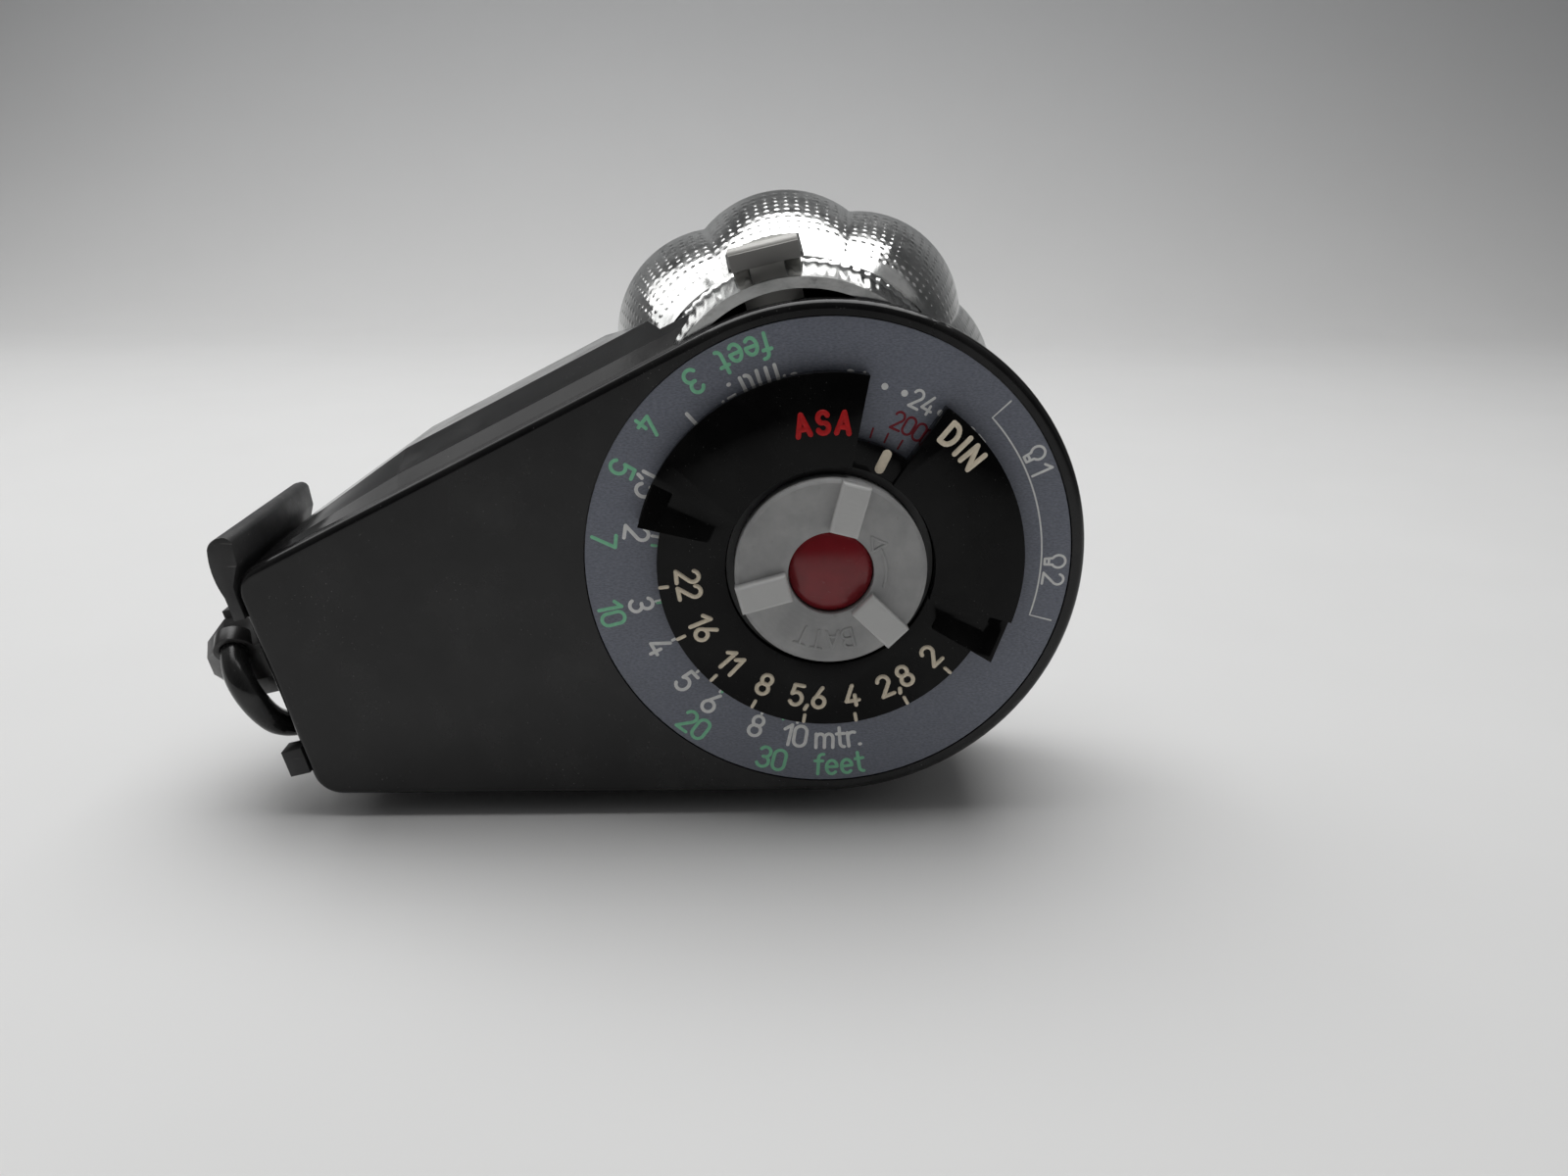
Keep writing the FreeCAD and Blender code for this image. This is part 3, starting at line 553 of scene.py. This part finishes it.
def disc_marks():
    numbers = {"22": 187, "16": 206.5, "11": 225.5, "8": 243, "5,6": 262, "4": 280.5, "2,8": 299.5, "2": 318}
    cream = []
    for text, a in numbers.items():
        cream += [(s, 0.43) for s in text_strokes(text, a, 13.95, 2.2, False, 0.2)]
        cream += [(s, 0.36) for s in line_strokes(a, 16.0, 16.75)]
    relief("aperture_numbers", cream, disc_face, 0.13, CREAM, "calculator")
    index = [(s, 0.95) for s in line_strokes(65.6, 10.9, 12.45)]
    relief("index_mark", index, lambda r: -1.25, 0.12, CREAM, "calculator")
    asa = [(s, 0.52) for s in text_strokes("ASA", 94, 14.5, 1.95, True, 0.42)]
    relief("asa_label", asa, cone_face, 0.16, RED_PAINT, "calculator")
    din = [(s, 0.52) for s in text_strokes("DIN", 45, 17.3, 2.1, True, 0.42)]
    relief("din_label", din, cone_face, 0.16, CREAM, "calculator")


def cap_marks():
    word = [(s, 0.34) for s in text_strokes("BATT", 266, 6.9, 1.9, True, 0.22)]
    arrow_r = 5.3
    shaft = [direction(a) * arrow_r for a in range(-14, 31, 4)]
    tip = direction(44) * arrow_r
    wings = [direction(30) * (arrow_r + side) for side in (-0.75, 0.75)]
    arrow = [(shaft, 0.34), ([wings[0], tip], 0.3), ([wings[1], tip], 0.3), ([wings[0], wings[1]], 0.3)]
    relief("cap_marks", word + arrow, cap_face, 0.14, CAP_GREY, "cap")


# ---- reflector ----------------------------------------------------------------------------------
AXIS_X, AXIS_Z = 0.6, 13.1
LOBES = 8
CREASE = 16.0                  # angle of one crease
RING_Y, FLOOR_Y, RIM_Y = 9.0, 12.4, 21.4
# depth, lobe radius and how far the creases lie below the lobes
OUTSIDE = ((RING_Y, 15.9, 0.3), (10.5, 17.1, 0.45), (FLOOR_Y, 18.4, 0.65), (15.0, 19.7, 0.9),
           (18.0, 20.85, 1.2), (RIM_Y, 21.9, 1.5))
INSIDE = ((13.4, 10.6, 0.1), (14.2, 14.0, 0.3), (15.6, 17.0, 0.5), (17.4, 19.0, 0.8), (19.4, 20.2, 1.1),
          (RIM_Y, 21.1, 1.4))
FLOOR_INSIDE_Y = 13.4
HOLE_R = 4.66                  # hole in the floor round the bulb socket
BORE = 13.4
# depth and radius of the fluted skirt
APRON = ((2.55, 14.5), (8.0, 15.3), (RING_Y, 15.75))
FIRST, LAST = -15.0, 195.0     # the ring and the apron only go this far round
PEARLS = 15                    # columns of pearls in each lobe
PEARL_ROW = 1.02               # distance between rows of pearls, along the wall, mm
PEARL_R, PEARL_H = 0.28, 0.055


def lobe_radius(radius, crease, angle):
    """Distance from the axis to a lobe's arc at an angle in degrees in case axes."""
    half = math.pi / LOBES
    low = radius - crease
    d = (radius**2 - low**2) / (2 * (radius - low * math.cos(half)))
    big = radius - d
    theta = math.radians((angle - CREASE) % (360 / LOBES)) - half
    return d * math.cos(theta) + math.sqrt(big**2 - (d * math.sin(theta))**2)


def pearl(angle, radius, along):
    """Height of the pearls at a place on the wall; along is the distance from where they start."""
    if along < 0:
        return 0.0
    step = 360.0 / LOBES / PEARLS
    column = (((angle - CREASE) % step) / step - 0.5) * math.radians(step) * radius
    row = ((along / PEARL_ROW) % 1.0 - 0.5) * PEARL_ROW
    return PEARL_H * max(0.0, 1 - (math.hypot(column, row) / PEARL_R)**2)**1.5


def wall(table, first_y, last_y, pitch):
    """Points (y, radius, crease, distance along the wall) at an even pitch between two depths."""
    points, y, along = [], first_y, 0.0
    while y < last_y - 0.01:
        radius, crease = interpolate(table, y)
        points.append((y, radius, crease, along))
        dy = 0.02
        slope = (interpolate(table, min(y + dy, last_y))[0] - radius) / dy
        y += pitch / math.hypot(1.0, slope)
        along += pitch
    return points


def ring_points(angle, section):
    x, z = math.cos(math.radians(angle)), math.sin(math.radians(angle))
    return [case(AXIS_X + r * x, y, AXIS_Z + r * z) for r, y in section]


def partial_ring(name, loops, sharp=35.0):
    """A silvered ring that stops short of a full turn, with the ejector's slot cut in it."""
    bm = bmesh.new()
    rings = ring_surface(bm, loops, closed_round=False)
    for ring in (rings[0], rings[-1]):
        bm.faces.new(ring)
    bmesh.ops.recalc_face_normals(bm, faces=bm.faces)
    obj = piece(name, bm, SILVER, "case", sharp=sharp)
    cut_slot(obj)


def reflector_bowl():
    """The pearled bowl, and the part of a ring that carries it on to the skirt."""
    count = LOBES * PEARLS * 7
    pitch = 0.14
    lowest, start, stop = FLOOR_Y - 0.02, 10.3, RIM_Y - 0.7
    low_wall = wall(OUTSIDE, RING_Y + 0.02, lowest, pitch)
    high_wall = wall(OUTSIDE, lowest, RIM_Y - 0.25, pitch)
    reach = low_wall[-1][3] + pitch
    offset = next(along for y, _, _, along in low_wall if y >= start)
    inner_wall = wall(INSIDE, 13.42, RIM_Y - 0.2, 0.3)

    def outer(angle, rows, shift):
        section = []
        for y, radius, crease, along in rows:
            r = lobe_radius(radius, crease, angle)
            fade = min(1.0, max(0.0, (stop - y) / 0.4))
            section.append((r + pearl(angle, r, along + shift - offset) * fade, y))
        return section

    loops = []
    for k in range(count):
        a = 360.0 * k / count
        section = [(HOLE_R, FLOOR_Y), (10.0, FLOOR_Y)] + outer(a, high_wall, reach)
        section += [(lobe_radius(21.86, 1.5, a), RIM_Y - 0.08), (lobe_radius(21.7, 1.45, a), RIM_Y),
                    (lobe_radius(21.3, 1.42, a), RIM_Y)]
        for y, radius, crease, along in reversed(inner_wall):
            r = lobe_radius(radius, crease, a)
            section.append((r - pearl(a, r, along - 5.0) * 0.8, y))
        section += [(6.5, FLOOR_INSIDE_Y), (HOLE_R, FLOOR_INSIDE_Y)]
        loops.append(ring_points(a, section))
    bm = bmesh.new()
    ring_surface(bm, loops)
    bmesh.ops.recalc_face_normals(bm, faces=bm.faces)
    piece("reflector_bowl", bm, SILVER, "case", ("reflector",), 40)

    loops = []
    steps = int((LAST - FIRST) / 360.0 * count)
    for k in range(steps + 1):
        a = FIRST + (LAST - FIRST) * k / steps
        section = [(BORE, RING_Y)] + outer(a, low_wall, 0.0)
        section += [(lobe_radius(18.4, 0.65, a), FLOOR_Y), (BORE, FLOOR_Y)]
        loops.append(ring_points(a, section))
    partial_ring("reflector_ring", loops, 40)


def cutter(x0, x1, y0, y1, z0, z1):
    bm = bmesh.new()
    corners = [bm.verts.new(case(x, y, z)) for x in (x0, x1) for y in (y0, y1) for z in (z0, z1)]
    for f in ((0, 1, 3, 2), (4, 6, 7, 5), (0, 4, 5, 1), (2, 3, 7, 6), (0, 2, 6, 4), (1, 5, 7, 3)):
        bm.faces.new([corners[i] for i in f])
    bmesh.ops.recalc_face_normals(bm, faces=bm.faces)
    mesh = bpy.data.meshes.new("cutter")
    bm.to_mesh(mesh)
    bm.free()
    obj = bpy.data.objects.new("cutter", mesh)
    bpy.context.scene.collection.objects.link(obj)
    return obj


def apply_modifiers(obj):
    depsgraph = bpy.context.evaluated_depsgraph_get()
    mesh = bpy.data.meshes.new_from_object(obj.evaluated_get(depsgraph))
    obj.modifiers.clear()
    obj.data = mesh


def cut_slot(obj):
    """Cuts the ejector's slot and pocket."""
    x = AXIS_X
    for size in ((x - 1.85, x + 1.85, 3.2, 11.6, 20, 34), (x - 3.8, x + 3.8, 6.2, 11.6, 28.55, 36)):
        tool = cutter(*size)
        cut = obj.modifiers.new("cut", "BOOLEAN")
        cut.object = tool
        cut.solver = "EXACT"
        apply_modifiers(obj)
        bpy.data.objects.remove(tool)
    obj.data.set_sharp_from_angle(angle=math.radians(35))


def reflector_apron():
    """Fluted skirt between the case and the bowl."""
    loops = []
    step, height, rows, flutes = 0.6, 0.05, 16, 84
    first_y = APRON[0][0]
    for k in range(int((LAST - FIRST) / step) + 1):
        a = FIRST + step * k
        flute = height * math.cos(math.radians(a) * flutes)
        section = [(BORE, first_y)]
        for j in range(rows + 1):
            y = first_y + (RING_Y - first_y) * j / rows
            fade = min(1.0, max(0.0, (y - 3.4) / 2.5))
            section.append((interpolate(APRON, y)[0] - height + flute * fade, y))
        section.append((BORE, RING_Y))
        loops.append(ring_points(a, section))
    partial_ring("reflector_apron", loops)


# ---- lead and button ----------------------------------------------------------------------------
# The lead is fixed at both ends; these are the points its run bends round, in case axes.
LEAD_ROUTE = ((-61.4, 4.2, 5.2), (-61.0, 1.3, 3.5), (-60.3, 0.0, 0.9), (-60.0, 1.3, -2.6),
              (-59.8, 3.6, -5.0), (-58.4, 6.6, -6.3), (-54.4, 7.3, -6.3), (-49.8, 7.0, -5.2),
              (-46.2, 6.5, -3.8))


def sync_lead():
    curve = bpy.data.curves.new("lead_path", "CURVE")
    curve.dimensions = "3D"
    curve.resolution_u = 12
    curve.bevel_depth = 1.38 * MM
    curve.bevel_resolution = 6
    curve.use_fill_caps = True
    spline = curve.splines.new("NURBS")
    spline.points.add(len(LEAD_ROUTE) - 1)
    for target, p in zip(spline.points, LEAD_ROUTE):
        target.co = tuple(case(*p)) + (1,)
    spline.order_u = 3
    spline.use_endpoint_u = True
    bm = curve_to_bmesh(curve)
    bmesh.ops.remove_doubles(bm, verts=bm.verts, dist=1e-7)
    bmesh.ops.recalc_face_normals(bm, faces=bm.faces)
    piece("sync_lead", bm, CORD_BLACK, "case", ("sync_cord",), 60)


def test_button():
    """Domed red button and its stem."""
    dome_r, edge_r, drop = 3.9, 4.08, 0.66
    section = [(0.02, BUTTON_TOP_Y)]
    for k in range(1, 13):
        r = dome_r * k / 12
        section.append((r, BUTTON_TOP_Y + drop * (r / edge_r)**2.3))
    section += [(4.0, -2.28), (4.06, -2.2), (edge_r, -2.05), (edge_r, -1.72), (5.2, -1.72), (5.2, -1.15),
                (1.6, -1.15), (1.6, 1.95), (0.02, 1.95)]
    loops = []
    for a in range(0, 360, 5):
        x, z = math.cos(math.radians(a)), math.sin(math.radians(a))
        loops.append([level(r * x, y, r * z) for r, y in section])
    bm = bmesh.new()
    ring_surface(bm, loops)
    bmesh.ops.recalc_face_normals(bm, faces=bm.faces)
    piece("test_button_body", bm, RED, "button", ("test_button",))


# ---- the object ---------------------------------------------------------------------------------
KEPT = {"rear_cover": BLACK, "front_shell": BLACK, "case_screws": STEEL, "scale_plate": PLATE,
        "friction_washer": NYLON, "disc_circlip": STEEL, "battery_chamber": CHAMBER, "cap_contact": BRASS,
        "button_spring": STEEL, "battery": SLEEVE, "chamber_contact": BRASS,
        "socket_contacts": BRASS, "ejector_spring": STEEL, "foot_spring": BRASS, "sync_plug_sleeve": BRASS,
        "sync_plug_pin": BRASS, "cord_gland": CHAMBER, "circuit_board": PHENOLIC, "capacitor": CAN,
        "resistor": RESISTOR, "hookup_wires": WIRE}
for node_name, finish in KEPT.items():
    for material_slot in nodes[node_name].material_slots:
        material_slot.material = finish

rounded("calculator_disc", "calculator_disc_body", DISC_BLACK, "calculator", 0.16)
rounded("battery_cap", "battery_cap_body", CAP_GREY, "cap", 0.12)
rounded("ejector_slide", "ejector_slide_body", RIB_GREY, "ejector", 0.08)
rounded("shoe_foot", "shoe_foot_body", MATTE_BLACK, "foot", 0.18)
rounded("sync_plug", "sync_plug_body", PLUG_BLACK, "case", 0.12)
rounded("bulb_socket", "bulb_socket_body", CHAMBER, "case", 0.15)
reflector_bowl()
reflector_apron()
sync_lead()
test_button()
plate_scales()
disc_marks()
cap_marks()


# ---- floor, light and camera ----------------------------------------------------------------------
def sweep():
    """Pale paper that lies on the table and rises behind the object."""
    profile = [(-1.2, 0.0)] + [(-1.2 + 0.1 * k, 0.0) for k in range(1, 16)]
    start, bend, top = 0.36, 0.16, 1.3
    profile = [p for p in profile if p[0] < start]
    profile += [(start + bend * math.sin(math.radians(a)), bend * (1 - math.cos(math.radians(a))))
                for a in range(0, 91, 5)]
    profile.append((start + bend, top))
    bm = bmesh.new()
    columns = [[bm.verts.new((x, y, z)) for y, z in profile] for x in (-2.0, 2.0)]
    for j in range(len(profile) - 1):
        bm.faces.new((columns[0][j], columns[1][j], columns[1][j + 1], columns[0][j + 1]))
    mesh = bpy.data.meshes.new("paper_sweep")
    bm.to_mesh(mesh)
    bm.free()
    mesh.polygons.foreach_set("use_smooth", [True] * len(mesh.polygons))
    obj = bpy.data.objects.new("paper_sweep", mesh)
    bpy.context.scene.collection.objects.link(obj)
    f = Finish("paper_pale", Specular_IOR_Level=0.2)
    depth = f.add("ShaderNodeSeparateXYZ")
    f.link(f.coords, depth.inputs[0])
    # painted shade: the paper is coloured darker as it rises behind the object, standing in for the light
    # falling off up the wall
    height = f.ramp(depth.outputs["Z"], (0.0, 0.0), (0.16, 1.0))
    cloudy = f.ramp(f.noise(60.0, 3.0), (0.3, 0.0), (0.7, 1.0))
    near = f.mix(cloudy, (0.755, 0.755, 0.75), (0.77, 0.77, 0.765))
    f.colour(f.mix(height, near, (0.50, 0.505, 0.51)))
    f.rough(f.noise(20.0), 0.6, 0.75)
    mesh.materials.append(f.material)


def softbox(name, place, target, width, height, power):
    light = bpy.data.lights.new(name, "AREA")
    light.shape = "RECTANGLE"
    light.size, light.size_y = width, height
    light.energy = power
    obj = bpy.data.objects.new(name, light)
    bpy.context.scene.collection.objects.link(obj)
    obj.location = place
    obj.rotation_euler = (Vector(target) - Vector(place)).to_track_quat("-Z", "Y").to_euler()


def surroundings():
    """Dim room in front, soft light from above and behind."""
    world = bpy.data.worlds.new("surroundings")
    world.use_nodes = True
    tree = world.node_tree
    coords = tree.nodes.new("ShaderNodeTexCoord")
    parts = tree.nodes.new("ShaderNodeSeparateXYZ")
    tree.links.new(coords.outputs["Generated"], parts.inputs[0])
    ramp = tree.nodes.new("ShaderNodeValToRGB")
    shift = tree.nodes.new("ShaderNodeMath")
    shift.operation = "MULTIPLY_ADD"
    shift.inputs[1].default_value = 0.5
    shift.inputs[2].default_value = 0.5
    tree.links.new(parts.outputs["Y"], shift.inputs[0])
    tree.links.new(shift.outputs[0], ramp.inputs["Fac"])
    elements = ramp.color_ramp.elements
    elements[0].position, elements[0].color = 0.05, (0.05, 0.05, 0.052, 1)
    elements[1].position, elements[1].color = 0.75, (0.30, 0.30, 0.30, 1)
    background = tree.nodes["Background"]
    tree.links.new(ramp.outputs["Color"], background.inputs["Color"])
    background.inputs["Strength"].default_value = 1.0
    bpy.context.scene.world = world
    bpy.context.scene.view_settings.view_transform = "Standard"


def camera():
    data = bpy.data.cameras.new("camera")
    data.lens = 27.0
    data.sensor_width = 36.0
    data.clip_start = 0.005
    obj = bpy.data.objects.new("camera", data)
    bpy.context.scene.collection.objects.link(obj)
    right, up, ahead = ((0.9995, -0.0311, 0.0092), (0.0018, 0.3356, 0.942), (0.0324, 0.9415, -0.3355))
    turn = Matrix((right, up, tuple(-c for c in ahead))).transposed()
    obj.matrix_world = Matrix.Translation(level(-8.22, -109.98, 36.68)) @ turn.to_4x4()
    bpy.context.scene.camera = obj


sweep()
softbox("top_softbox", (0.0, 0.12, 0.50), (0.0, 0.02, 0.0), 0.55, 0.45, 2.45)
softbox("back_softbox", (-0.35, 0.20, 0.35), (0.0, 0.0, 0.03), 0.3, 0.3, 0.4)
surroundings()
camera()
